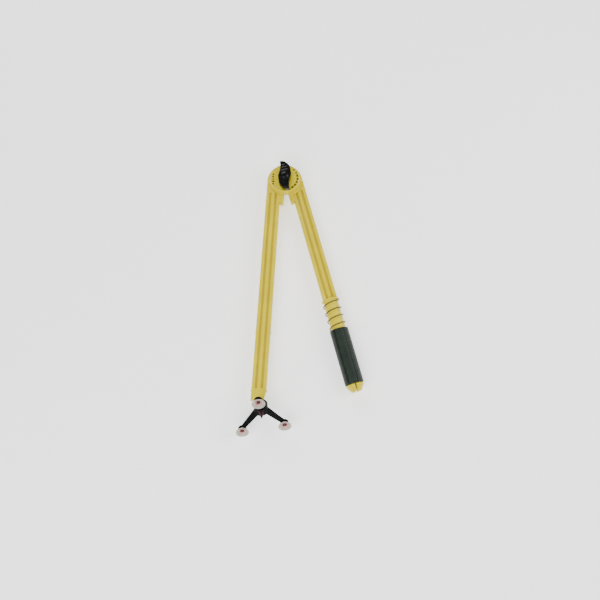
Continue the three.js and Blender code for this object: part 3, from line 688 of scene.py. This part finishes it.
def make_pivot_leg():
    leg = leg_moulding("pivot_leg_moulding", -1, LEG_END, SLANT_IN, GROOVE_END)
    mouth = 2.2
    bore_r = KNUCKLE_R + SEAM
    bore = spun("foot_bore", [
        (0, 430),
        (SHANK_R + SEAM, 430),
        (SHANK_R + SEAM, 446),
        (bore_r, 446),
        (bore_r, LEG_END - mouth),
        (bore_r + 2 * mouth, LEG_END + mouth),
        (0, LEG_END + mouth)], SMALL)
    along_leg = Matrix.Rotation(TURN / 4, 4, "X")
    placed(bore, Matrix.Translation((-FOOT_X * MM, 0, MID_Z * MM)) @ along_leg)
    combined(leg, bore)
    placed(leg, PIVOT_SIDE)
    fitted(leg, "pivot_leg", LEG_YELLOW, ["pivot_leg"])
    far = -HEAD_R - LEG_PIN_PROUD
    near = -INNER_X + LEG_PIN_PROUD
    for name, u, z in LEG_PINS:
        pin = spun(name + "_round", [
            (0, far), (LEG_PIN_R, far, 0.6), (LEG_PIN_R, near, 0.6), (0, near)], TINY)
        across = Matrix.Translation((0, -u * MM, z * MM)) @ Matrix.Rotation(TURN / 4, 4, "Y")
        placed(pin, PIVOT_SIDE @ across)
        fitted(pin, "pivot_leg", YELLOW, [name])


# ---- head ------------------------------------------------------------------
def make_head():
    cap = spun("back_cap_moulding", [
        (CAP_INNER_R, 3),
        (CAP_INNER_R, CAP_TOP),
        (CAP_R - 0.6, CAP_TOP),
        (CAP_R, CAP_TOP - 0.6),
        (CAP_R, 3, 1.6),
        (16.6, 0, 1.4),
        (14, 0), (13.6, 0.5), (12.4, 0.5), (12, 0),
        (8, 0), (7.6, 0.5), (6.4, 0.5), (6, 0),
        (0, 0),
        (0, 3)], FINE, ring=True)
    fitted(cap, "marker_leg", RUBBER, ["back_cap"])

    disc = spun("scale_disc_moulding", [
        (BOLT_HOLE_R, DISC_Z),
        (DISC_R - 0.5, DISC_Z),
        (DISC_R, DISC_Z + 0.5),
        (DISC_R, DISC_Z + 1.6, 0.5),
        (DISC_FACE_R + 0.7, DISC_TOP - 1.6, 1.0),
        (DISC_FACE_R, DISC_TOP, 0.7),
        (DISC_FACE_R - 0.5, DISC_TOP),
        (DISC_FACE_R - 0.9, PRINT_Z),
        (DISC_STEP_R, PRINT_Z),
        (DISC_STEP_R - 0.4, DISC_TOP - 0.1),
        (10.3, DISC_TOP - 0.1),
        (10.3, DISC_TOP - 1.3),
        (BOLT_HOLE_R, DISC_TOP - 1.3)], FINEST, ring=True)
    fitted(disc, "marker_leg", YELLOW, ["scale_disc"])

    washer = spun("spring_washer_dished", [
        (5.3, 39.3), (10, 38.8), (10, 39.9), (5.3, 40.4)], ROUND, ring=True)
    fitted(washer, "marker_leg", STEEL, ["spring_washer"])


def scale_mark(name, x, y, angle, width, length):
    """A thin printed bar with its long side at the given angle."""
    long, wide = length / 2, width / 2
    mark = slab(name, [(-long, -wide), (long, -wide), (long, wide), (-long, wide)], 0, 0.12)
    spot = Matrix.Translation((x * MM, y * MM, PRINT_Z * MM))
    return placed(mark, spot @ Matrix.Rotation(angle, 4, "Z"))


def scale_number(text, x, y, angle):
    thickness = 0.06
    nothing_selected()
    bpy.ops.object.text_add()
    label = bpy.context.object
    label.data.body = text
    label.data.size = 5.6 * MM
    label.data.extrude = thickness * MM
    label.data.offset = 0.34 * MM
    label.data.align_x = "CENTER"
    label.data.align_y = "CENTER"
    label.data.resolution_u = 3
    bpy.ops.object.convert(target="MESH")
    label = bpy.context.object
    label.name = "scale_number_" + text
    spot = Matrix.Translation((x * MM, y * MM, (PRINT_Z + thickness) * MM))
    return placed(label, spot @ Matrix.Rotation(angle, 4, "Z"))


def make_scale():
    """The numbers 0 to 70 round the right of the dial, and a row of dashes on its left."""
    marks = []
    for k in range(8):
        angle = math.radians(29 - 16 * k)
        x, y = NUMBER_R * math.cos(angle), NUMBER_R * math.sin(angle)
        marks.append(scale_number(str(10 * k), x, y, angle - TURN / 4))
    lean = math.radians(-16)
    for k in range(5):
        length = 4.6 if k % 2 else 3.2
        marks.append(scale_mark("scale_dash", -20.4 - 1.5 * k, 14.4 - 5.2 * k, lean, 2.9, length))
    scale = joined(*marks)
    scale.name = "printed_scale"
    fitted(scale, "marker_leg", INK)


KNOB_HALF = [(-1.8, 32.3), (7, 29.6), (12.6, 22.5), (15.4, 15.8), (14.8, 7.2), (13.6, -1),
             (10.5, -6.8), (6.4, -13.5), (3.4, -21.5), (2.3, -28.2)]
POCKET = [(-5.4, 9.4, 1), (8.4, 9.4, 1), (9.6, 15, 1), (8.6, 20.5, 1), (5.4, 25.6, 1.5),
          (0.2, 27.2, 1), (-0.9, 21.6, 1), (-3.4, 14.4, 1)]
RIBS = ((12.2, -5.2, 9.6), (17.8, -3, 9.4), (23.2, -1.4, 7.4))
RIB_HALF_W = 1.9
RIB_SLOPE = math.radians(-19)


def knob_outline(rounding):
    """The knob's S outline: one half, and the same half turned about the middle."""
    half = [(x, y, rounding) for x, y in KNOB_HALF]
    return eased(half + [(-x, -y, r) for x, y, r in half], 4)[::-1]


def wing_pocket():
    """The hollow in the top of one wing, and the three sloped ribs that stand in it."""
    floor_z = KNOB_TOP - 3.4
    pocket = slab("wing_pocket", eased(POCKET, 3), floor_z, KNOB_TOP + 2)
    ribs = []
    for y, low, high in RIBS:
        rib = block("wing_rib", (low, -RIB_HALF_W, -2.6), (high, RIB_HALF_W, 0))
        spot = Matrix.Translation((0, y * MM, (KNOB_TOP - 0.5) * MM))
        ribs.append(placed(edges_rounded(rib, 0.5, 3), spot @ Matrix.Rotation(RIB_SLOPE, 4, "X")))
    return pocket, joined(*ribs)


def make_knob():
    knob = slab("clamp_knob_wings", knob_outline(1.6), WING_Z, KNOB_TOP)
    rim_rounded(knob, KNOB_TOP, 0.8, 4)
    rim_rounded(knob, WING_Z, 0.6, 2)
    all_ribs = []
    for turn in (0, TURN / 2):
        pocket, ribs = wing_pocket()
        combined(knob, placed(pocket, Matrix.Rotation(turn, 4, "Z")))
        all_ribs.append(placed(ribs, Matrix.Rotation(turn, 4, "Z")))
    dome_seat = (KNOB_TOP - 2.3, KNOB_TOP + 2, DOME_BORE_R)
    nut_seat = (KNOB_Z - 2, KNOB_TOP - 8.7, NUT_R)
    for z0, z1, radius in (dome_seat, nut_seat):
        combined(knob, spun("knob_bore", [(0, z0), (radius, z0), (radius, z1), (0, z1)], ROUND))
    edges_rounded(knob, 0.3, 2, 45)
    boss_top = WING_Z + 0.3
    boss = spun("knob_boss", [
        (NUT_R, KNOB_Z), (KNOB_BOSS_R, KNOB_Z, 0.6), (KNOB_BOSS_R, boss_top), (NUT_R, boss_top)],
        ROUND, ring=True)
    joined(knob, boss, *all_ribs)
    fitted(knob, "clamp_knob", BLACK, ["clamp_knob"])

    cap = spun("knob_cap_dome", [
        (0, KNOB_TOP - 2),
        (DOME_R, KNOB_TOP - 2),
        (DOME_R, KNOB_TOP + 0.3, 0.5),
        (6.9, KNOB_TOP + 0.9, 0.3),
        (5.2, KNOB_TOP + 1.8, 1.2),
        (2.6, KNOB_TOP + 2.45, 1.4),
        (0, KNOB_TOP + 2.6)], ROUND)
    fitted(cap, "clamp_knob", BLACK, ["knob_cap"])


# ---- chuck -----------------------------------------------------------------
def make_spring():
    start = SHOULDER_U + WIRE_R + SEAM
    length = SLEEVE_START - WIRE_R - SEAM - start
    nothing_selected()
    bpy.ops.mesh.primitive_circle_add(
        vertices=16, radius=WIRE_R * MM, fill_type="NGON",
        location=(SPRING_R * MM, 0, start * MM), rotation=(TURN / 4, 0, 0))
    spring = bpy.context.object
    spring.name = "return_spring_coil"
    bpy.ops.object.transform_apply(location=True, rotation=True, scale=True)
    editing("SELECT")
    bpy.ops.mesh.delete(type="ONLY_FACE")
    bpy.ops.object.mode_set(mode="OBJECT")
    applied(spring, "SCREW", axis="Z", angle=SPRING_TURNS * TURN, screw_offset=length * MM,
            steps=260, render_steps=260, iterations=1, use_normal_calculate=True)
    editing("DESELECT")
    bpy.ops.mesh.select_mode(type="EDGE")
    bpy.ops.mesh.select_non_manifold(extend=False)
    bpy.ops.mesh.fill_holes(sides=0)
    bpy.ops.mesh.select_mode(type="VERT")
    bpy.ops.mesh.select_all(action="SELECT")
    bpy.ops.mesh.normals_make_consistent(inside=False)
    bpy.ops.object.mode_set(mode="OBJECT")
    placed(spring, ALONG)
    fitted(spring, "marker_leg", SHADED_SPRING_STEEL, ["return_spring"])
    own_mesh(spring)


def make_sleeve():
    """A tube whose outside is sunk in narrow strips, one along each flute."""
    steps = 144
    sleeve = spun("grip_sleeve_fluted", [
        (SLEEVE_IN, SLEEVE_START),
        (SLEEVE_R, SLEEVE_START, 1.5),
        (SLEEVE_R, SLEEVE_START + 2),
        (SLEEVE_R, SLEEVE_END - 2),
        (SLEEVE_R, SLEEVE_END, 1.5),
        (SLEEVE_IN, SLEEVE_END)], steps, ring=True)
    only(sleeve)
    bpy.ops.object.mode_set(mode="EDIT")
    bpy.ops.mesh.select_mode(type="FACE")
    bpy.ops.mesh.select_all(action="DESELECT")
    mesh = bmesh.from_edit_mesh(sleeve.data)
    spacing = 360 / FLUTES
    smallest_strip = 2e-5
    for face in mesh.faces:
        centre = face.calc_center_median()
        outside = Vector((centre.x, centre.y)).length > (SLEEVE_R - 0.2) * MM
        if not outside or face.calc_area() < smallest_strip:
            continue
        turned = (math.degrees(math.atan2(centre.y, centre.x)) - FLUTE_TURN + 360) % spacing
        if min(turned, spacing - turned) < 5.1:
            face.select_set(True)
    bmesh.update_edit_mesh(sleeve.data)
    bpy.ops.mesh.inset(thickness=0.9 * MM, depth=-1.7 * MM, use_boundary=True)
    bpy.ops.mesh.select_mode(type="VERT")
    bpy.ops.object.mode_set(mode="OBJECT")
    placed(sleeve, ALONG)
    edges_rounded(sleeve, 0.25, 2, 35)
    fitted(sleeve, "grip_sleeve", GREEN, ["grip_sleeve"], 32)


def make_jaws():
    seat = SLEEVE_END + SEAM
    for name, side in (("jaw_left", -1), ("jaw_right", 1)):
        jaw = spun(name + "_half", [
            (CHALK_R, FORK_END + 2.3),
            (JAW_R, FORK_END + 2.3),
            (JAW_R, seat),
            (JAW_NOSE_R - 0.8, seat),
            (JAW_NOSE_R, SLEEVE_END + 1.1, 0.5),
            (JAW_NOSE_R, SLEEVE_END + 3.6, 0.8),
            (10.2, JAW_END - 0.4, 0.8),
            (9.2, JAW_END),
            (CHALK_R + 0.8, JAW_END, 0.4),
            (CHALK_R, JAW_END - 1)], FINE, ring=True)
        only(jaw)
        editing("SELECT")
        bpy.ops.mesh.bisect(plane_co=(side * JAW_SLIT / 2 * MM, 0, 0), plane_no=(side, 0, 0),
                            use_fill=True, clear_inner=True)
        bpy.ops.object.mode_set(mode="OBJECT")
        placed(jaw, ALONG)
        edges_rounded(jaw, 0.35, 2, 40)
        pin_x = LEG_X + side * JAW_PIN_X
        arm_sides = sorted((LEG_X + side * 6.4, LEG_X + side * 11.6))
        arm = block("jaw_arm", (arm_sides[0], -FORK_END - 6, MID_Z - JAW_ARM_Z),
                    (arm_sides[1], -JAW_PIN_U, MID_Z + JAW_ARM_Z))
        edges_rounded(arm, 0.8, 2)
        eye = spun("jaw_eye", [
            (1.5, -JAW_ARM_Z), (JAW_EYE_R, -JAW_ARM_Z, 0.5), (JAW_EYE_R, JAW_ARM_Z, 0.5),
            (1.5, JAW_ARM_Z)], TINY, ring=True)
        placed(eye, Matrix.Translation((pin_x * MM, -JAW_PIN_U * MM, MID_Z * MM)))
        joined(jaw, arm, eye)
        fitted(jaw, name, YELLOW, [name])


# ---- suction foot ----------------------------------------------------------
def make_knuckle():
    knuckle = spun("swivel_knuckle_turned", [
        (0, -SHANK_END),
        (SHANK_R, -SHANK_END, 0.5),
        (SHANK_R, -18.6),
        (NECK_R, -18.6),
        (NECK_R, -14.4),
        (SHANK_R, -14.4),
        (SHANK_R, -10),
        (KNUCKLE_R, -10),
        (KNUCKLE_R, 1.6),
        (KNUCKLE_R - 1, 2.6, 0.8),
        (0, 2.6)], ROUND)
    combined(knuckle, block("tongue_slot", (-2.6, -8, -3.5), (2.6, 8, 5)))
    edges_rounded(knuckle, 0.25)
    placed(knuckle, KNUCKLE)
    fitted(knuckle, "foot_knuckle", FOOT_BLACK, ["swivel_knuckle"])


def make_spider():
    """Hub, three sloping arms and their end bosses, blended together like one moulding."""
    spider = spun("spider_hub", [
        (0, HUB_BACK), (HUB_R, HUB_BACK, 2), (HUB_R, HUB_FRONT, 2), (0, HUB_FRONT)], ROUND)
    rise = BOSS_BACK + 2.3 - ARM_HUB
    slope = math.atan2(rise, CUP_RING_R)
    reach = math.hypot(CUP_RING_R, rise)
    out = Matrix.Translation((CUP_RING_R * MM, 0, 0))
    thirds = [Matrix.Rotation(TURN * k / 3, 4, "Z") for k in range(3)]
    for around in thirds:
        arm = slab("spider_arm", [(0, -8), (reach, -4), (reach, 4), (0, 8)],
                   -ARM_HALF_T, ARM_HALF_T)
        edges_rounded(arm, 1.6, 3)
        sloped = Matrix.Translation((0, 0, ARM_HUB * MM)) @ Matrix.Rotation(-slope, 4, "Y")
        placed(arm, around @ sloped)
        combined(spider, arm, "UNION")
        boss = spun("spider_boss", [
            (0, BOSS_BACK - 2),
            (4.8, BOSS_BACK - 1.6, 1.5),
            (BOSS_R, BOSS_BACK + 1.4, 1.6),
            (BOSS_R, BOSS_FRONT),
            (0, BOSS_FRONT)], SMALL)
        placed(boss, around @ out)
        combined(spider, boss, "UNION")
    applied(spider, "REMESH", mode="VOXEL", voxel_size=0.55 * MM, use_smooth_shade=True)
    applied(spider, "SMOOTH", factor=0.5, iterations=5)
    clip_seat = HUB_FRONT - 2.9
    hollow = spun("hub_hollow", [
        (0, 0), (AXLE_HOLE_R, 0), (AXLE_HOLE_R, clip_seat), (CLIP_HOLE_R, clip_seat),
        (CLIP_HOLE_R, CLEAR), (0, CLEAR)], SMALL)
    combined(spider, hollow)
    face = BOSS_FRONT - 0.1
    for around in thirds:
        trim = spun("boss_trim", [(0, face), (9.5, face), (9.5, CLEAR), (0, CLEAR)], SMALL)
        placed(trim, around @ out)
        combined(spider, trim)
    placed(spider, FOOT)
    fitted(spider, "foot", FOOT_BLACK, ["tripod_spider"], 50)


def make_point():
    joint = POINT_END - STEEL_LENGTH
    seat = HUB_FRONT + SEAM
    cone = spun("centre_cone_turned", [
        (0, seat - 1.5),
        (CONE_SEAT_R, seat - 1.5),
        (CONE_SEAT_R, seat),
        (CONE_R, seat, 0.3),
        (CONE_R, seat + 1.2, 0.4),
        (2.3, joint, 0.2),
        (1.2, joint),
        (0, joint)], ROUND)
    placed(cone, FOOT)
    fitted(cone, "foot", SHADED_CONE_RED, ["centre_cone"])
    tip = spun("centre_tip_point", [
        (0, joint - 2),
        (SPIGOT_R, joint - 2),
        (SPIGOT_R, joint + 0.3),
        (2, joint + 0.3, 0.2),
        (0.35, POINT_END - 0.2, 0.2),
        (0, POINT_END)], SMALL)
    placed(tip, FOOT)
    fitted(tip, "foot", SHADED_STEEL_POINT, ["centre_tip"])


def make_cups():
    """Three cups, each a thin flared wall from its neck out to its lip and back, and its plug."""
    neck = BOSS_FRONT + 0.3
    floor = 49.0
    for k in range(3):
        around = Matrix.Rotation(TURN * k / 3, 4, "Z")
        place = FOOT @ around @ Matrix.Translation((CUP_RING_R * MM, 0, 0))
        centre = place @ Vector((0, 0, 49.4 * MM))
        cup = spun(f"suction_cup_{k + 1}_vinyl", [
            (CUP_HOLE_R, neck),
            (CUP_NECK_R, neck, 0.5),
            (CUP_NECK_R + 0.4, neck + 2, 0.8),
            (8, 49.3, 1.2),
            (10.6, 51.3, 1),
            (CUP_R, MOUTH - 0.6, 0.4),
            (CUP_R, MOUTH, 0.2),
            (CUP_R - 0.7, MOUTH, 0.2),
            (9.6, 52.2, 0.8),
            (7.2, 50.9, 0.8),
            (5.4, 49.6, 0.8),
            (4.6, floor, 0.4),
            (CUP_HOLE_R, floor)], 80, ring=True)
        placed(cup, place)
        vinyl = milky_vinyl(f"milky_vinyl_{k + 1}", centre)
        fitted(cup, "foot", vinyl, [f"suction_cup_{k + 1}"])
        head = floor + 0.2
        plug = spun(f"cup_plug_{k + 1}_head", [
            (0, 41.2),
            (PLUG_STEM_R, 41.2),
            (PLUG_STEM_R, head),
            (PLUG_R, head, 0.2),
            (PLUG_R, head + 0.9, 0.4),
            (PLUG_R - 1.3, head + 1.5, 0.4),
            (0, head + 1.6)], SMALL)
        placed(plug, place)
        fitted(plug, "foot", PLUG_RED, [f"cup_plug_{k + 1}"])


# ---- assembly --------------------------------------------------------------
make_marker_leg()
make_pivot_leg()
make_head()
make_scale()
make_knob()
make_spring()
make_sleeve()
make_jaws()
make_knuckle()
make_spider()
make_point()
make_cups()

KEPT = {"pivot_bolt": STEEL, "friction_washer": NYLON, "knob_insert": BRASS, "guide_ring": NYLON,
        "jaw_pin_left": STEEL, "jaw_pin_right": STEEL, "jaw_spring": SHADED_SPRING_STEEL, "tilt_pin": STEEL,
        "hub_stem": STEEL, "stem_clip": STEEL}
for node, finish in KEPT.items():
    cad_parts[node].data.materials.clear()
    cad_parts[node].data.materials.append(finish)


# ---- floor, light and camera -----------------------------------------------
def make_floor():
    nothing_selected()
    bpy.ops.mesh.primitive_plane_add(size=8, location=(0, 0, -0.0005))
    floor = bpy.context.object
    floor.name = "studio_floor"
    paper = Finish("pale_paper", Roughness=0.85, Specular_IOR_Level=0.15, Emission_Strength=0.9)
    paper.colored(paper.blend(paper.noise(60, 2), (0.9, 0.9, 0.9, 1), (0.93, 0.93, 0.93, 1)))
    paper.shader.inputs["Emission Color"].default_value = (1, 1, 1, 1)
    floor.data.materials.append(paper.material)


def soft_light(name, place, target, width, height, power):
    nothing_selected()
    bpy.ops.object.light_add(type="AREA", location=place)
    light = bpy.context.object
    light.name = name
    light.data.shape = "RECTANGLE"
    light.data.size = width
    light.data.size_y = height
    light.data.energy = power
    light.rotation_euler = (Vector(target) - Vector(place)).to_track_quat("-Z", "Y").to_euler()


def make_studio():
    middle = (-0.04, -0.25, 0)
    soft_light("key_softbox", (-0.9, -1.2, 1.5), middle, 1.5, 1.2, 42)
    soft_light("right_softbox", (1.3, -0.5, 1.2), middle, 1.2, 1.0, 26)
    soft_light("back_softbox", (-0.15, 1.5, 1.1), middle, 1.6, 0.7, 24)
    world = bpy.data.worlds.new("studio_air")
    world.use_nodes = True
    world.node_tree.nodes["Background"].inputs[0].default_value = (1, 1, 1, 1)
    world.node_tree.nodes["Background"].inputs[1].default_value = 0.35
    bpy.context.scene.world = world


def make_camera():
    nothing_selected()
    place = Vector((-0.1282, -0.6021, 1.2681))
    target = Vector((-0.0357, -0.2559, 0.0185))
    bpy.ops.object.camera_add(location=place)
    camera = bpy.context.object
    camera.data.lens = 39.2
    camera.data.sensor_width = 36
    camera.rotation_euler = (target - place).to_track_quat("-Z", "Y").to_euler()
    bpy.context.scene.camera = camera


make_floor()
make_studio()
make_camera()
